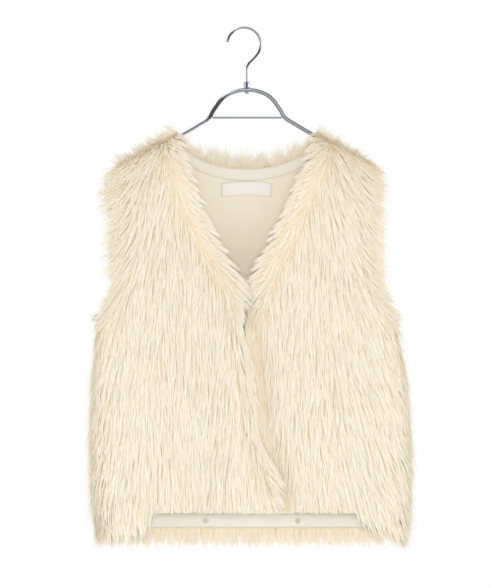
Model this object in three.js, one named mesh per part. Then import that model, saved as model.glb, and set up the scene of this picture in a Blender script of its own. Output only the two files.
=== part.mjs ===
// A cream faux fur vest with a V neck, hanging on a chrome wire hanger.
// Millimetres, +Z up. The front faces -Y and the wearer's left side is at +X.
// The origin is inside the top of the hook, where a rail carries it.
import * as THREE from 'three';

const { lerp: mix, clamp } = THREE.MathUtils;
const smooth = (share) => THREE.MathUtils.smoothstep(share, 0, 1);

// Clearance between pieces that meet
const GAP = 0.3;

// Hanger
const TUBE_RADIUS = 3;
const KNEE = { x: 55, z: -133 }; // where the arch turns into an arm
const ARM_SLOPE = 0.585;
const ARM_END = 184;
const ARCH_TOP = -91.5;
const ARCH = [
  { x: 59, z: -134.9 },
  { x: 54.7, z: -130.5 },
  { x: 51.9, z: -125 },
  { x: 46, z: -116 },
  { x: 36, z: -103.5 },
  { x: 20, z: -94.6 },
];
const BAR = { radius: 1.5, halfLength: 52 };
const WIRE_RADIUS = 1.65;
const LOOP_RADIUS = 25; // the hook's loop, to the middle of its wire
const LOOP_OFFSET = -4.5; // the loop stands a little to one side of its stem
const LOOP_ENDS = { from: 168, to: -40, points: 13 }; // degrees
const STEM = [
  { x: 3.2, z: -50.8 },
  { x: 0.4, z: -56 },
  { x: 0, z: -61 },
  { x: 0, z: -71 },
];
const COLLAR = { radius: 5, top: -79.2, bottom: ARCH_TOP + TUBE_RADIUS + GAP };
const NUT = { radius: 3.2, height: 2.2 };

// Body of the vest, measured on the inside of its cloth
const NECK_HALF_WIDTH = 104;
const NECK_BACK = -209; // lowest point of the back neck
const SHOULDER_TIP = 190;
const UNDERARM = -444;
const ARMHOLE = { cut: 35, rounding: 120 };
const SHOULDER_ROUNDING = 75; // the drop over which the cloth opens to its full depth
const FRONT_HEM = { middle: -722, side: -746 };
const BACK_HEM = -750;
const DEPTH = { top: -150, atTop: 18, bottom: -750, atBottom: 28 }; // half of the inside's depth
const OUTLINE = [
  { z: -150, halfWidth: 216, shift: 0 },
  { z: -260, halfWidth: 206, shift: 0 },
  { z: -340, halfWidth: 205, shift: 0 },
  { z: -444, halfWidth: 214, shift: 0 },
  { z: -520, halfWidth: 224, shift: 3 },
  { z: -620, halfWidth: 228, shift: 5 },
  { z: -700, halfWidth: 225, shift: 5 },
  { z: -750, halfWidth: 219, shift: 5 },
];

// Free edge of each front, as the distance from the middle to the panel's own side
const OVER_EDGE = [
  { z: -157, reach: 104 },
  { z: -185, reach: 106 },
  { z: -216, reach: 93 },
  { z: -260, reach: 80 },
  { z: -300, reach: 62 },
  { z: -340, reach: 39 },
  { z: -374, reach: 19 },
  { z: -405, reach: 12 },
  { z: -496, reach: -1 },
  { z: -586, reach: -9 },
  { z: -651, reach: -29 },
  { z: -690, reach: -38 },
  { z: -722, reach: -25 },
];
const UNDER_EDGE = [
  { z: -157, reach: 104 },
  { z: -185, reach: 104 },
  { z: -216, reach: 90 },
  { z: -260, reach: 72 },
  { z: -300, reach: 53 },
  { z: -345, reach: 31 },
  { z: -374, reach: 22 },
  { z: -405, reach: 10 },
  { z: -435, reach: 2 },
  { z: -510, reach: -8 },
  { z: -722, reach: -14 },
];

// Where one front lies over the other
const LAP = { rise: 6, sink: 5, thickness: 9, from: -300, full: -350, blend: 25 };
const LAP_LIFT = { from: 75, over: 45 }; // where the upper front starts to rise over the lower one

// Pile: how far the fur stands from the cloth, and hangs past its edges
const PILE = { body: 16, edge: 6, taper: 30, reach: 35 };
const SEAM_PILE = { front: 7, back: 16 };
const OVERHANG = { front: 14, neck: 18, backHem: 26, hemMiddle: 5, hemSide: 28 };
const LOCK = { rise: 4, root: 0.25, rows: 3, uneven: 0.35 };
const FROM_SEAM = { pile: 40, locks: 60 }; // the drop over which each grows to its full height

// Pieces sewn on the inside of the back
const LINING = { from: GAP, to: 1.5 };
const TRIM = { from: 1.8, to: 3.3 }; // the two bands
const LABEL = { x: -1, z: -228, width: 76, height: 21, sag: 3, from: 1.8, to: 2.6 };
const HEM_BAND = { halfWidth: 180, top: -727.8, bottom: -748.2 };
const TACK = { radius: 4.75, thickness: 1.2, z: -739.4, left: 76.5, right: -62.5 };
const NECK_END = 0.47; // how far round the neck the lining and its band reach, of the back's half
const NECK_SHARE = 0.5; // the column of the back that starts at the neck's corner
const NECK_FADE = 0.36; // where the neck's own pile starts to give way to the shoulder's
const BACK_EVEN = 0.3; // the share of the back's drop over which its columns even out
const BAND_ROWS = 3;
const LINING_ROWS = 5; // rows below the shoulder seam that the lining leaves free

// Grid sizes: the fur side is fine and the inside is coarse
const FRONT_GRID = { columns: 22, rows: 40 };
const BACK_GRID = { columns: 40, rows: 40 };
const FRONT_INSIDE_COLUMNS = 11;
const BACK_INSIDE_COLUMNS = 10; // to each side
const TRIM_COLUMNS = 8;
const INSIDE_ROWS = 14;
const INSIDE_SPREAD = 2.2; // crowds the inside's rows towards the shoulder
const FUR_SPREAD = 1.25;
const WIRE_SIDES = 10;
const TURNED_SIDES = 20;

const material = (color, roughness, metalness = 0) =>
  new THREE.MeshStandardMaterial({ color, roughness, metalness });
const MATERIALS = {
  fur: material(0xf3ead6, 0.95),
  lining: material(0xe8dbc0, 0.8),
  band: material(0xf1e8d7, 0.85),
  label: material(0xf4f0e9, 0.7),
  thread: material(0xcfc3ae, 0.7),
  chrome: material(0xc9ccd0, 0.18, 1),
};

const vest = new THREE.Group();

function add(name, geometry, look) {
  const mesh = new THREE.Mesh(geometry, MATERIALS[look]);
  mesh.name = name;
  vest.add(mesh);
  return mesh;
}

// The value of a table's column at a height, with the rows listed from the top down
function lookUp(table, column, z) {
  const next = table.findIndex((row) => row.z <= z);
  if (next === 0) return table[0][column];
  if (next < 0) return table[table.length - 1][column];
  const above = table[next - 1];
  const below = table[next];
  return mix(above[column], below[column], smoothHalf((above.z - z) / (above.z - below.z)));
}

// Half way between a straight line and an eased one, so that table rows leave no hard corner
const smoothHalf = (share) => mix(share, smooth(share), 0.5);

// A repeatable value from 0 to 1 for a pair of whole numbers
function scatter(i, j) {
  const value = Math.sin(i * 127.1 + j * 311.7) * 43758.5453;
  return value - Math.floor(value);
}

// Body surface

const armHeight = (x) => KNEE.z - ARM_SLOPE * (Math.abs(x) - KNEE.x);

// The shoulder seam's inside rests on the hanger's arm
const SEAT = (TUBE_RADIUS + GAP) * Math.hypot(1, ARM_SLOPE);
const seamHeight = (x) => armHeight(x) + SEAT;

const halfDepth = (z) =>
  mix(DEPTH.atTop, DEPTH.atBottom, (DEPTH.top - z) / (DEPTH.top - DEPTH.bottom));

// Distance from the middle to the side seam, round the flattened body
function halfGirth(z) {
  return lookUp(OUTLINE, 'halfWidth', z) - halfDepth(z) * (1 - Math.PI / 2);
}

// Distance from the middle to the panel's outer edge: the armhole, then the side seam
function outerEdge(z) {
  const above = clamp((z - UNDERARM) / ARMHOLE.rounding, 0, 1);
  return halfGirth(z) - ARMHOLE.cut * Math.sqrt(1 - (1 - above) ** 2);
}

// Across a flattened body: flat in the middle, with round sides
function section(along, z) {
  const depth = halfDepth(z);
  const flat = lookUp(OUTLINE, 'halfWidth', z) - depth;
  const turn = clamp((Math.abs(along) - flat) / depth, 0, Math.PI / 2);
  const x = Math.min(Math.abs(along), flat) + depth * Math.sin(turn);
  return { x: Math.sign(along) * x, y: depth * Math.cos(turn) };
}

// The cloth closes over the hanger's arm at the shoulder
function shoulderArch(x, z) {
  const drop = clamp((seamHeight(x) - z) / SHOULDER_ROUNDING, 0, 1);
  return Math.sqrt(1 - (1 - drop) ** 2);
}

// How fully two fronts lap at a place, from 0 to 1
const lapHeight = (z) => smooth((LAP.from - z) / (LAP.from - LAP.full));
const overTip = (z) => OVERHANG.front - lookUp(OVER_EDGE, 'reach', z);
const lapUnder = (x, z) => lapHeight(z) * smooth((overTip(z) + LAP.blend - x) / LAP.blend);
const lapOver = (x, z) => lapHeight(z) * smooth((x + LAP_LIFT.from) / LAP_LIFT.over);

// Panels: side is the panel's own side in X, face is -1 in front and 1 behind

const seamTop = (u) => seamHeight(mix(NECK_HALF_WIDTH, SHOULDER_TIP, u));

function frontPanel(side, edge, lap, sideFrom, armFlare) {
  const hemSide = (u) => smooth((u - sideFrom) / (1 - sideFrom));
  const hem = (u) => mix(FRONT_HEM.middle, FRONT_HEM.side, hemSide(u));
  const inner = (t) => lookUp(edge, 'reach', mix(seamTop(0), hem(0), t));
  const outer = (t) => outerEdge(mix(seamTop(1), hem(1), t));
  return {
    side,
    face: -1,
    lap,
    turn: side > 0 ? -1 : 1,
    from: 0,
    top: seamTop,
    hem,
    across: (u, t) => mix(t === 0 ? NECK_HALF_WIDTH : inner(t), t === 0 ? SHOULDER_TIP : outer(t), u),
    neck: () => 0,
    seamPile: SEAM_PILE.front,
    pile: (x, z) => (side > 0 ? mix(PILE.body, LAP.thickness, lapUnder(x, z)) : PILE.body),
    hemOver: (u) => mix(OVERHANG.hemMiddle, OVERHANG.hemSide, hemSide(u)),
    innerOver: OVERHANG.front,
    armFlare: () => armFlare,
  };
}

const neckHeight = (x) =>
  mix(NECK_BACK, seamHeight(NECK_HALF_WIDTH), 1 - Math.sqrt(1 - (x / NECK_HALF_WIDTH) ** 2));

// The share of the shoulder's width that a back column starts at
const neckCorner = NECK_HALF_WIDTH / SHOULDER_TIP;
function startShare(u) {
  const share = Math.abs(u);
  if (share <= NECK_SHARE) return (share / NECK_SHARE) * neckCorner;
  return mix(neckCorner, 1, (share - NECK_SHARE) / (1 - NECK_SHARE));
}

const BACK = {
  side: 1,
  face: 1,
  lap: () => 0,
  turn: 1,
  from: -1,
  top(u) {
    const x = startShare(u) * SHOULDER_TIP;
    return Math.abs(u) < NECK_SHARE ? neckHeight(x) : seamHeight(x);
  },
  hem: () => BACK_HEM,
  across(u, t) {
    const share = mix(startShare(u), Math.abs(u), Math.min(t / BACK_EVEN, 1));
    const width = t === 0 ? SHOULDER_TIP : outerEdge(mix(this.top(1), BACK_HEM, t));
    return Math.sign(u) * share * width;
  },
  neck: (u) => 1 - smooth((Math.abs(u) - NECK_FADE) / (NECK_SHARE - NECK_FADE)),
  seamPile: SEAM_PILE.back,
  pile: () => PILE.body,
  hemOver: () => OVERHANG.backHem,
  innerOver: 0,
  armFlare: (u) => (u < 0 ? 24 : 17),
};

const FRONT_RIGHT = frontPanel(-1, OVER_EDGE, (x, z) => LAP.rise * lapOver(x, z), 0.67, 24);
const FRONT_LEFT = frontPanel(1, UNDER_EDGE, (x, z) => -LAP.sink * lapUnder(x, z), 0.8, 17);

const heightAt = (panel, u, t) => mix(panel.top(u), panel.hem(u), t);

// A point on the inside of a panel's cloth
function insidePoint(panel, u, t) {
  const z = heightAt(panel, u, t);
  const across = section(panel.across(u, t), z);
  const x = panel.side * across.x;
  const depth = shoulderArch(x, z) * across.y + panel.lap(x, z);
  const shifted = x + lookUp(OUTLINE, 'shift', z);
  return new THREE.Vector3(shifted, panel.face * (GAP / 2 + Math.max(depth, 0)), z);
}

// The directions across the panel, down it and out of it
function directions(panel, u, t) {
  const step = 0.002;
  const u0 = clamp(u, panel.from + step, 1 - step);
  const t0 = clamp(t, step, 1 - step);
  const across = insidePoint(panel, u0 + step, t0).sub(insidePoint(panel, u0 - step, t0)).normalize();
  const down = insidePoint(panel, u0, t0 + step).sub(insidePoint(panel, u0, t0 - step)).normalize();
  const out = across.clone().cross(down).multiplyScalar(panel.turn).normalize();
  return { across, down, out };
}

// Locks lie like shingles: each rises towards its tip, and rows are staggered
function lockRise(i, j) {
  const row = Math.floor(j / LOCK.rows);
  const along = (j % LOCK.rows) / (LOCK.rows - 1);
  const ridge = (i + row) % 2;
  return LOCK.rise * mix(LOCK.root, 1, along) * ridge * mix(0.5, 1, scatter(i, row));
}

const towardsEdge = (distance) => 1 - smooth(distance / PILE.reach);

// A point on the fur's outer surface, for one knot of the panel's fine grid
function furPoint(panel, grid, i, j) {
  const u = mix(panel.from, 1, i / grid.columns);
  const t = (j / grid.rows) ** FUR_SPREAD;
  const point = insidePoint(panel, u, t);
  const { across, down, out } = directions(panel, u, t);
  const along = Math.abs(panel.across(u, t));
  const drop = seamHeight(point.x) - point.z;
  const neck = panel.neck(u);
  const isEdge = panel.innerOver > 0;
  const armhole = smooth((point.z - UNDERARM) / PILE.reach);
  const tuft = (n, k) => 1 + LOCK.uneven * (2 * scatter(n, k) - 1);

  const innerGap = isEdge ? panel.across(u, t) - panel.across(0, t) : PILE.reach;
  const outerGap = Math.abs(panel.across(1, t)) - along;
  const hemGap = point.z - panel.hem(u);
  const topGap = panel.top(u) - point.z;

  const taper = (gap, weight) => mix(1, mix(PILE.edge / PILE.body, 1, smooth(gap / PILE.taper)), weight);
  let pile = panel.pile(point.x, point.z);
  pile *= Math.min(taper(innerGap, isEdge ? 1 : 0), taper(outerGap, armhole), taper(hemGap, 1));
  pile *= taper(topGap, neck);
  const rise = lockRise(i, j) * smooth(drop / FROM_SEAM.locks) * (pile / PILE.body);

  if (j === 0 && neck === 0) {
    const up = panel.seamPile * tuft(i, 0);
    return point.add(new THREE.Vector3(0, 0, up));
  }
  const clear = smooth(drop / FROM_SEAM.pile);
  point.addScaledVector(out, mix(Math.max(pile, panel.seamPile), pile, clear) + rise);
  point.addScaledVector(across, -panel.innerOver * tuft(0, j) * clear * towardsEdge(innerGap));
  const flare = panel.armFlare(u) * armhole * tuft(9, j) * towardsEdge(outerGap);
  point.addScaledVector(across, Math.sign(u) * flare);
  point.addScaledVector(down, panel.hemOver(u) * tuft(i, 7) * towardsEdge(hemGap));
  point.addScaledVector(down, -OVERHANG.neck * neck * tuft(i, 5) * towardsEdge(topGap));
  point.y = panel.face * Math.max(panel.face * point.y, GAP / 2);
  return point;
}

// Closed solids from grids of points

class Shell {
  constructor() {
    this.points = [];
    this.faces = [];
  }

  // Adds a grid of points, with rows of equal length, and gives its index grid
  grid(rows) {
    return rows.map((row) => row.map((point) => this.points.push(point) - 1));
  }

  // Covers an index grid with triangles, where keep(row, column) says so
  cover(index, flip, keep = () => true) {
    for (let j = 0; j + 1 < index.length; j += 1) {
      for (let i = 0; i + 1 < index[j].length; i += 1) {
        if (keep(j, i)) {
          this.quad(index[j][i], index[j][i + 1], index[j + 1][i + 1], index[j + 1][i], flip);
        }
      }
    }
  }

  quad(a, b, c, d, flip) {
    this.triangle(a, b, c, flip);
    this.triangle(a, c, d, flip);
  }

  triangle(a, b, c, flip = false) {
    this.faces.push(flip ? [a, c, b] : [a, b, c]);
  }

  // Joins two edges that have different numbers of points, each given with its share along the edge
  zip(first, second) {
    let a = 0;
    let b = 0;
    while (a + 1 < first.length || b + 1 < second.length) {
      const nextA = a + 1 < first.length ? first[a + 1].share : 2;
      const nextB = b + 1 < second.length ? second[b + 1].share : 2;
      if (nextA <= nextB) {
        this.triangle(first[a].at, first[a + 1].at, second[b].at);
        a += 1;
      } else {
        this.triangle(first[a].at, second[b + 1].at, second[b].at);
        b += 1;
      }
    }
  }

  // Leaves out the points that no face uses
  usedOnly() {
    const renamed = new Map();
    const points = [];
    this.faces = this.faces.map((face) =>
      face.map((at) => {
        if (!renamed.has(at)) renamed.set(at, points.push(this.points[at]) - 1);
        return renamed.get(at);
      }),
    );
    this.points = points;
    return this;
  }

  geometry() {
    const geometry = new THREE.BufferGeometry().setFromPoints(this.points);
    const used = this.volume() < 0 ? this.faces.map(([a, b, c]) => [a, c, b]) : this.faces;
    geometry.setIndex(used.flat());
    geometry.computeVertexNormals();
    return geometry;
  }

  volume() {
    const sixth = ([a, b, c]) => {
      const across = new THREE.Vector3().crossVectors(this.points[b], this.points[c]);
      return this.points[a].dot(across) / 6;
    };
    return this.faces.reduce((sum, face) => sum + sixth(face), 0);
  }
}

// The four edges of an index grid in one turning direction, with shares of u and t
function edgesOf(index, shareU, shareT) {
  const last = index.length - 1;
  const end = index[0].length - 1;
  const row = (j) => index[j].map((at, i) => ({ at, share: shareU[i] }));
  const column = (i) => index.map((line, j) => ({ at: line[i], share: shareT[j] }));
  const back = (edge) => edge.map(({ at, share }) => ({ at, share: 1 - share })).reverse();
  return [row(0), column(end), back(row(last)), back(column(0))];
}

const steps = (count) => Array.from({ length: count + 1 }, (_, k) => k / count);
const insideRows = steps(INSIDE_ROWS).map((share) => share ** INSIDE_SPREAD);

function panelGeometry(panel, grid, insideColumns) {
  const shell = new Shell();
  const furU = steps(grid.columns);
  const furT = steps(grid.rows);
  const fur = shell.grid(furT.map((_, j) => furU.map((__, i) => furPoint(panel, grid, i, j))));
  const inside = shell.grid(
    insideRows.map((t) => insideColumns.map((u) => insidePoint(panel, u, t))),
  );
  shell.cover(fur, false);
  shell.cover(inside, true);
  const share = insideColumns.map((u) => (u - panel.from) / (1 - panel.from));
  const furEdges = edgesOf(fur, furU, furT.map((t) => t ** FUR_SPREAD));
  const insideEdges = edgesOf(inside, share, insideRows);
  furEdges.forEach((edge, k) => shell.zip(insideEdges[k], edge));
  return shell.geometry();
}

// A thin layer between two grids of points, over the cells that keep(row, column) names
function layerGeometry(outer, inner, keep = () => true) {
  const shell = new Shell();
  const rows = outer.length - 1;
  const columns = outer[0].length - 1;
  const kept = (j, i) => j >= 0 && i >= 0 && j < rows && i < columns && keep(j, i);
  const a = shell.grid(outer);
  const b = shell.grid(inner);
  shell.cover(a, false, kept);
  shell.cover(b, true, kept);
  for (let j = 0; j < rows; j += 1) {
    for (let i = 0; i < columns; i += 1) {
      if (!kept(j, i)) continue;
      const sides = [
        [kept(j - 1, i), [j, i], [j, i + 1]],
        [kept(j, i + 1), [j, i + 1], [j + 1, i + 1]],
        [kept(j + 1, i), [j + 1, i + 1], [j + 1, i]],
        [kept(j, i - 1), [j + 1, i], [j, i]],
      ];
      sides.forEach(([shared, [j0, i0], [j1, i1]]) => {
        if (!shared) shell.quad(a[j0][i0], b[j0][i0], b[j1][i1], a[j1][i1], false);
      });
    }
  }
  return shell.usedOnly().geometry();
}

// Panels of fur

const frontInside = steps(FRONT_INSIDE_COLUMNS);
const halfBack = [...steps(BACK_INSIDE_COLUMNS), NECK_END].sort((a, b) => a - b);
const backInside = [...halfBack.slice(1).reverse().map((u) => -u), ...halfBack];

add('front_right', panelGeometry(FRONT_RIGHT, FRONT_GRID, frontInside), 'fur');
add('front_left', panelGeometry(FRONT_LEFT, FRONT_GRID, frontInside), 'fur');
add('back', panelGeometry(BACK, BACK_GRID, backInside), 'fur');

// Lining and neck band: the back's own inside points, moved in

function moveIn(u, t, distance) {
  return insidePoint(BACK, u, t).addScaledVector(directions(BACK, u, t).out, -distance);
}

function backLayer({ from, to }, rows, keep) {
  const gridAt = (distance) => rows.map((t) => backInside.map((u) => moveIn(u, t, distance)));
  return layerGeometry(gridAt(from), gridAt(to), keep);
}

const roundNeck = (i) => Math.abs(backInside[i] + backInside[i + 1]) / 2 < NECK_END;
add('back_lining', backLayer(LINING, insideRows, (j, i) => j >= LINING_ROWS || roundNeck(i)), 'lining');
const bandRows = insideRows.slice(0, BAND_ROWS + 1);
add('neck_band', backLayer(TRIM, bandRows, (j, i) => roundNeck(i)), 'band');

// Hem band and label: on the flat middle of the back

const onBack = (x, z, distance) => new THREE.Vector3(x, GAP / 2 + halfDepth(z) - distance, z);

function flatLayer({ from, to }, halfWidth, middle, top, bottom) {
  const gridAt = (distance) =>
    [top, bottom].map((height) =>
      steps(TRIM_COLUMNS).map((share) => {
        const x = mix(-halfWidth, halfWidth, share);
        return onBack(middle + x, height(x), distance);
      }),
    );
  return layerGeometry(gridAt(from), gridAt(to));
}

const hemLayer = flatLayer(TRIM, HEM_BAND.halfWidth, 0, () => HEM_BAND.top, () => HEM_BAND.bottom);
add('hem_band', hemLayer, 'band');
const labelTop = (x) => LABEL.z - LABEL.sag * (x / (LABEL.width / 2)) ** 2;
const labelBottom = (x) => labelTop(x) - LABEL.height;
add('label', flatLayer(LABEL, LABEL.width / 2, LABEL.x, labelTop, labelBottom), 'label');

// Diamond tacks that hold the hem band
for (const side of ['left', 'right']) {
  const { radius, thickness, z } = TACK;
  const diamond = new THREE.CylinderGeometry(radius, radius, thickness, 4);
  const tack = add(`hem_tack_${side}`, diamond, 'thread');
  tack.position.copy(onBack(TACK[side], z, TRIM.to + GAP + thickness / 2));
}

// Hanger

function wire(name, path, radius, count) {
  const corners = steps(WIRE_SIDES)
    .slice(1)
    .map((share) => new THREE.Vector2(radius, 0).rotateAround(new THREE.Vector2(), 2 * Math.PI * share));
  const outline = new THREE.Shape(corners);
  add(name, new THREE.ExtrudeGeometry(outline, { extrudePath: path, steps: count }), 'chrome');
}

const curve = (places) =>
  new THREE.CatmullRomCurve3(places.map(({ x, z }) => new THREE.Vector3(x, 0, z)), false, 'centripetal');

// The tube from its left arm over the arch to the middle, then mirrored
const onArm = (x) => ({ x, z: armHeight(x) });
const halfTube = [onArm(ARM_END), onArm(mix(ARM_END, KNEE.x, 0.5)), onArm(KNEE.x + 12), ...ARCH];
const otherHalf = halfTube.map(({ x, z }) => ({ x: -x, z })).reverse();
wire('hanger_tube', curve([...halfTube, { x: 0, z: ARCH_TOP }, ...otherHalf]), TUBE_RADIUS, 64);

const barEnds = [{ x: -BAR.halfLength, z: KNEE.z }, { x: BAR.halfLength, z: KNEE.z }];
wire('hanger_bar', curve(barEnds), BAR.radius, 2);

// The hook: more than half of a loop, then a bend into the stem
const loopMiddle = -Math.sqrt((LOOP_RADIUS - WIRE_RADIUS) ** 2 - LOOP_OFFSET ** 2);
const loopPoint = (degrees) => {
  const angle = THREE.MathUtils.degToRad(degrees);
  const x = LOOP_OFFSET + LOOP_RADIUS * Math.cos(angle);
  return { x, z: loopMiddle + LOOP_RADIUS * Math.sin(angle) };
};
const loop = steps(LOOP_ENDS.points).map((share) => loopPoint(mix(LOOP_ENDS.from, LOOP_ENDS.to, share)));
wire('hanger_hook', curve([...loop, ...STEM, { x: 0, z: COLLAR.top + GAP }]), WIRE_RADIUS, 60);

function upright(name, radius, top, bottom) {
  const cylinder = new THREE.CylinderGeometry(radius, radius, top - bottom, TURNED_SIDES);
  const mesh = add(name, cylinder, 'chrome');
  mesh.rotation.x = Math.PI / 2;
  mesh.position.z = (top + bottom) / 2;
}

upright('hanger_collar', COLLAR.radius, COLLAR.top, COLLAR.bottom);
const nutTop = ARCH_TOP - TUBE_RADIUS - GAP;
upright('hanger_nut', NUT.radius, nutTop, nutTop - NUT.height);

export default vest;
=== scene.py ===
"""A cream faux fur vest with a V neck on a chrome hanger: its fur, cloth, stitching and metal.

Metres, +Z up. The front faces -Y and the wearer's left side is at +X.
"""
import math

import bmesh
import bpy
import numpy as np
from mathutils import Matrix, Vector
from mathutils.kdtree import KDTree


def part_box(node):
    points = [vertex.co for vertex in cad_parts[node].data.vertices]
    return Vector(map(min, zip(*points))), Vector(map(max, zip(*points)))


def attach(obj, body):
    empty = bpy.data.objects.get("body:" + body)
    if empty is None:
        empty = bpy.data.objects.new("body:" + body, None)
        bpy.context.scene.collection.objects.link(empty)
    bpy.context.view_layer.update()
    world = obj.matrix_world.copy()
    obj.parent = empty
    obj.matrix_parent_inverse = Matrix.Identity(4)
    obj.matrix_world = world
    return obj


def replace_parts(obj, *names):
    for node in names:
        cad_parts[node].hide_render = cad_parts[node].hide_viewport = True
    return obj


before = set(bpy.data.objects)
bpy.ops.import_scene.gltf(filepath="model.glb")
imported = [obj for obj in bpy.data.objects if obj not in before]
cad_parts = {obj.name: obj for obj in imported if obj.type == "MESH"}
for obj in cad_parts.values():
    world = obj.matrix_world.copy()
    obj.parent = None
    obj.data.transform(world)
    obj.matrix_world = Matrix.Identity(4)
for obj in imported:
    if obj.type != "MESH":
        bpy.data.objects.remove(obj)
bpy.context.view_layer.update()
MM = 0.001

# Hanger
TUBE_RADIUS = 3 * MM
KNEE_X, KNEE_Z = 55 * MM, -133 * MM  # where the arch turns into an arm
ARM_SLOPE = 0.585
ARCH_TOP = -91.5 * MM
WIRE_RADIUS = 1.65 * MM
LOOP_RADIUS = 25 * MM
LOOP_OFFSET = -4.5 * MM
GAP = 0.3 * MM

# Body of the vest, measured on the inside of its cloth
NECK_HALF_WIDTH = 104 * MM
NECK_BACK = -209 * MM
SHOULDER_TIP = 190 * MM
UNDERARM = -444 * MM
ARMHOLE_CUT, ARMHOLE_ROUNDING = 35 * MM, 120 * MM
SHOULDER_ROUNDING = 75 * MM
FRONT_HEM_MIDDLE, FRONT_HEM_SIDE, BACK_HEM = -722 * MM, -746 * MM, -750 * MM
DEPTH_TOP, DEPTH_BOTTOM = (-150 * MM, 18 * MM), (-750 * MM, 28 * MM)  # height, half depth
CLOTH, ROOTS = 8 * MM, 5 * MM  # the backing with its dense short fur, where long strands start

OUTLINE = {
    "z": (-0.150, -0.260, -0.340, -0.444, -0.520, -0.620, -0.700, -0.750),
    "half_width": (0.216, 0.206, 0.205, 0.214, 0.224, 0.228, 0.225, 0.219),
    "shift": (0, 0, 0, 0, 0.003, 0.005, 0.005, 0.005),
}
OVER_EDGE = {
    "z": (-0.157, -0.185, -0.216, -0.260, -0.300, -0.340, -0.374, -0.405, -0.496, -0.586,
          -0.651, -0.690, -0.722),
    "reach": (0.104, 0.106, 0.093, 0.080, 0.062, 0.039, 0.019, 0.012, -0.001, -0.009,
              -0.029, -0.038, -0.025),
}
UNDER_EDGE = {
    "z": (-0.157, -0.185, -0.216, -0.260, -0.300, -0.345, -0.374, -0.405, -0.435, -0.510,
          -0.722),
    "reach": (0.104, 0.104, 0.090, 0.072, 0.053, 0.031, 0.022, 0.010, 0.002, -0.008, -0.014),
}
LAP_RISE, LAP_SINK, LAP_FROM, LAP_FULL = 6 * MM, 5 * MM, -300 * MM, -350 * MM
LAP_TIP = 14 * MM  # how far the upper front's fur reaches past its cloth
SINK_WIDTH = 25 * MM
RISE_X, RISE_WIDTH = -75 * MM, 45 * MM
NECK_SHARE = 0.5  # the column of the back that starts at the neck's corner
NECK_BLEND = 0.3  # how far down the back its columns even out
NECK_END = 0.47  # how far round the neck the lining's band reaches

# Fur. A pair of values holds for -X and +X, or for the lap and the open neck, where it says so.
SEED = 7
PANEL_HEIGHT, ROW_SHARE = 580 * MM, 0.9  # about, and the gap between rows to that in a row
EDGE_SHARE = 0.0005  # how near to a panel's edge a strand may start
LOCK_SPACING = 6.5 * MM
STRAND_LENGTH = 48 * MM
STRAND_WIDTH = 1.0 * MM  # half of it
PILE_HEIGHT = 9 * MM
THIN_TOP, THIN_TOP_WIDTH = 0.2, 75 * MM  # the short fur's share of its thickness at the top
THIN_SIDE, THIN_SIDE_WIDTH = 0.6, 20 * MM
HEM_TRIM, LONG_HEM = -726 * MM, -777 * MM

# Lean of the fur to the side, and its fan at the armholes
FALL_STEP, FALL_END = 0.022, 0.97  # the share down over which the fall is taken, and where it ends
SIDE_LEAN, LEAN_X, LEAN_WIDTH = (0.11, 0.40), 70 * MM, 150 * MM  # at -X and at +X
CORNER_TURN, CORNER_DROP, CORNER_X, CORNER_WIDTH = 0.4, 650 * MM, 150 * MM, (80 * MM, 70 * MM)
ARM_FRINGE = 12 * MM  # how soon the fur turns outwards at an armhole
ARM_LOW, ARM_WIDTH = UNDERARM - 20 * MM, 35 * MM
ARM_FAN, TIP_FAN, TIP_WIDTH = 1.4, (2.2, 1.2), 30 * MM  # the second at -X and at +X
ARM_REACH = (0.95, 0.66)  # at -X and at +X
SIDE_LIFT, SIDE_WIDTH = 0.05, 22 * MM
PIT_TRIM, PIT_Z, PIT_HEIGHT, PIT_REACH = 0.45, -382 * MM, 38 * MM, 100 * MM
WAVE, WAVE_SIZES = 0.10, (60 * MM, 23 * MM)

# Free edge of a front, with values for the lap and for the open neck
# The second value is the width of a line of painted shade along the rolled edge.
ROLL, ROLL_SHADE_WIDTH = 19 * MM, 3.5 * MM  # where the rolled edge of the neck begins
EDGE_FROM, EDGE_WIDTH = ROLL - 8 * MM, 11 * MM
NECK_FROM, NECK_WIDTH = -430 * MM, 90 * MM
EDGE_TURN, EDGE_TRIM, EDGE_HEIGHT = (0.3, 1.6), (0.25, 0.45), (1.5, 0.62)
FLICK, FLICK_TURN, FLICK_HEIGHT = -655 * MM, 0.6, 18 * MM  # where a tuft turns outwards
V_FOOT, V_GROWTH, V_HEIGHT = -362 * MM, 0.6, 22 * MM  # where the fronts' fur closes the V
LAP_HEIGHT = 0.45
# The gap and width of a painted shadow beside the upper front's edge, and how much shorter the fur
# is there.
VALLEY_GAP, VALLEY_WIDTH, VALLEY_TRIM = 11 * MM, 2.8 * MM, 0.4  # beside the upper front's edge

# Shoulder seam of a front
PART_TURN, PART_WIDTH = 0.7, 35 * MM
# The last value is how far below the seam the painted shade at the parting fades.
SEAM_LENGTH, SEAM_HEIGHT, SEAM_WIDTH, SEAM_SHADE = 0.8, 1.25, 30 * MM, 16 * MM

# Crest along the top of the back, with values for the neck and for the shoulders
CREST_FROM, CREST_WIDTH = 2.5 * MM, 3.5 * MM
SHOULDER_U, SHOULDER_WIDTH = 0.42, 0.14
CREST_ASIDE, CREST_BACK, CREST_UP, CREST_TUFT = (0.1, 1.5), (0.3, -0.2), 1.1, (0.48, 0.38)
LEFT_TUFT, LEFT_U, LEFT_WIDTH = 0.72, 0.45, 0.1
CREST_FACE = np.array([0, 1, 0.2])
CREST_HEIGHT, BACK_HEIGHT, BACK_WIDTH = 0.3, 1.4, 40 * MM
# Where painted shade starts on the back's fur near its hem, and over what share it grows.
LOW_T, LOW_WIDTH = 0.94, 0.03


def mix(low, high, share):
    return low + (high - low) * share


def smooth(share):
    share = np.clip(share, 0, 1)
    return share * share * (3 - 2 * share)


def ease(value, start, width):
    """From 0 to 1 as a value passes from its start over a width."""
    return smooth((value - start) / width)


def fade(gap, width):
    return np.exp(-gap / width)


def peak(value, centre, width):
    return np.exp(-((value - centre) / width) ** 2)


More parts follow.
